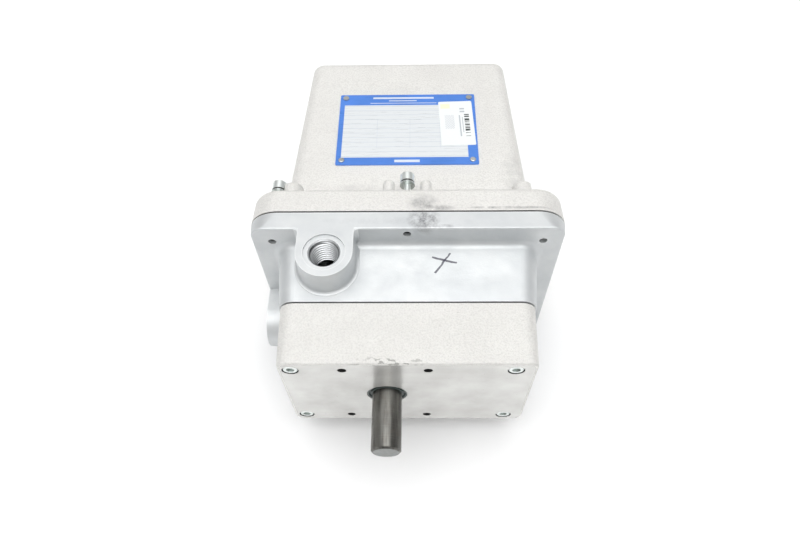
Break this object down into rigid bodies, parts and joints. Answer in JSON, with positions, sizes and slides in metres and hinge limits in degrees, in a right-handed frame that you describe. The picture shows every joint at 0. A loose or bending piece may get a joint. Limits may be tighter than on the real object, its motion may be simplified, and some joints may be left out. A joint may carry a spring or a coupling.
{
  "type": "motorized valve actuator",
  "caption": "Quarter-turn electric valve actuator: cast gear case with a plain output shaft, flanged housing with threaded conduit bosses, and a deep cover held by captive screws.",
  "frame": {"origin": "on the output shaft's axis, in the plane of the machined mounting face", "axes": "-Y out along the output shaft, +Y back through the cover, +Z out of the nameplate side"},
  "size_m": [0.2068, 0.302, 0.1402],
  "materials": {
    "cast_aluminium": "sand-blasted casting",
    "bright_casting": "smooth bright casting",
    "gasket": "matte",
    "zinc_plated": "bright zinc plate",
    "seal_rubber": "satin",
    "shaft_steel": "oiled turned steel",
    "gear_steel": "machined",
    "bronze": "machined",
    "motor_paint": "semi-gloss",
    "motor_bell_aluminium": "die cast",
    "lamination_steel": "ground",
    "plate_steel": "zinc-plated sheet",
    "capacitor_can": "drawn can",
    "black_plastic": "moulded",
    "cam_plastic": "moulded",
    "terminal_brass": "bright",
    "lever_steel": "spring steel",
    "lead_insulation": "satin",
    "nameplate_metal": "printed metal",
    "label_paper": "paper"
  },
  "bodies": {
    "casing": {"gear_housing": "cast_aluminium", "gear_housing_gasket": "gasket", "main_housing": "bright_casting", "cover_gasket": "gasket", "cover": "cast_aluminium", "corner_cap_screws": "zinc_plated", "cover_screws": "zinc_plated", "cover_screw_washers": "zinc_plated", "cover_screw_seals": "seal_rubber", "nameplate": "nameplate_metal", "nameplate_pins": "zinc_plated", "stock_label": "label_paper", "shaft_seal": "seal_rubber", "front_bushing": "bronze", "rear_bushing": "bronze", "intermediate_bushes": "bronze", "idler_stub_shaft": "gear_steel", "idler_retaining_ring": "gear_steel", "motor_front_bell": "motor_bell_aluminium", "motor_case": "motor_paint", "motor_stator": "lamination_steel", "motor_rear_bell": "motor_bell_aluminium", "motor_bearings": "gear_steel", "motor_through_bolts": "zinc_plated", "capacitor": "capacitor_can", "capacitor_clamp": "plate_steel", "chassis_plate": "plate_steel", "chassis_standoffs": "zinc_plated", "pan_screws": "zinc_plated", "terminal_strip": "black_plastic", "terminal_screws": "zinc_plated", "switch_bracket": "plate_steel", "close_switch": "black_plastic", "open_switch": "black_plastic", "switch_terminals": "terminal_brass", "switch_screws": "zinc_plated", "pot_bracket": "plate_steel", "potentiometer": "black_plastic", "pot_nut": "zinc_plated", "motor_leads": "lead_insulation", "capacitor_leads": "lead_insulation"},
    "output": {"output_shaft": "shaft_steel", "output_gear": "gear_steel", "output_gear_key": "gear_steel", "shaft_retaining_ring": "gear_steel", "pot_drive_gear": "bronze", "close_cam": "cam_plastic", "open_cam": "cam_plastic", "cam_set_screws": "zinc_plated"},
    "intermediate": {"intermediate_shaft": "gear_steel", "intermediate_wheel": "gear_steel"},
    "idler": {"idler_pinion": "gear_steel", "idler_wheel": "gear_steel"},
    "motor_rotor": {"motor_shaft": "gear_steel", "motor_rotor": "lamination_steel", "motor_pinion": "gear_steel"},
    "pot_rotor": {"pot_shaft": "gear_steel", "pot_gear": "bronze"},
    "close_switch_lever": {"close_lever": "lever_steel"},
    "open_switch_lever": {"open_lever": "lever_steel"}
  },
  "joints": [
    {"name": "output_turn", "type": "hinge", "parent": "casing", "child": "output", "pos_m": [0, 0, 0], "axis": [0, 1, 0], "range_deg": [0, 90]},
    {"name": "intermediate_spin", "type": "hinge", "parent": "casing", "child": "intermediate", "pos_m": [0.04506, 0.02, 0.01292], "axis": [0, 1, 0], "range_deg": [-360, 0]},
    {"name": "idler_spin", "type": "hinge", "parent": "casing", "child": "idler", "pos_m": [0.03439, 0.028, -0.01831], "axis": [0, 1, 0], "range_deg": [0, 1620]},
    {"name": "motor_spin", "type": "hinge", "parent": "casing", "child": "motor_rotor", "pos_m": [0.05203, 0.08, -0.00203], "axis": [0, 1, 0], "range_deg": [-6480, 0]},
    {"name": "pot_turn", "type": "hinge", "parent": "casing", "child": "pot_rotor", "pos_m": [-0.026, 0.06, 0], "axis": [0, 1, 0], "range_deg": [-144, 0]},
    {"name": "close_lever_press", "type": "hinge", "parent": "casing", "child": "close_switch_lever", "pos_m": [-0.011, 0.0645, 0.0193], "axis": [0, -1, 0], "range_deg": [0, 4], "stiffness_Nm_per_rad": 0.02},
    {"name": "open_lever_press", "type": "hinge", "parent": "casing", "child": "open_switch_lever", "pos_m": [-0.011, 0.0755, 0.0193], "axis": [0, -1, 0], "range_deg": [0, 4], "stiffness_Nm_per_rad": 0.02}
  ],
  "couplings": [
    {"joint": "intermediate_spin", "follows": "output_turn", "ratio": -4},
    {"joint": "idler_spin", "follows": "output_turn", "ratio": 18},
    {"joint": "motor_spin", "follows": "output_turn", "ratio": -72},
    {"joint": "pot_turn", "follows": "output_turn", "ratio": -1.6}
  ]
}
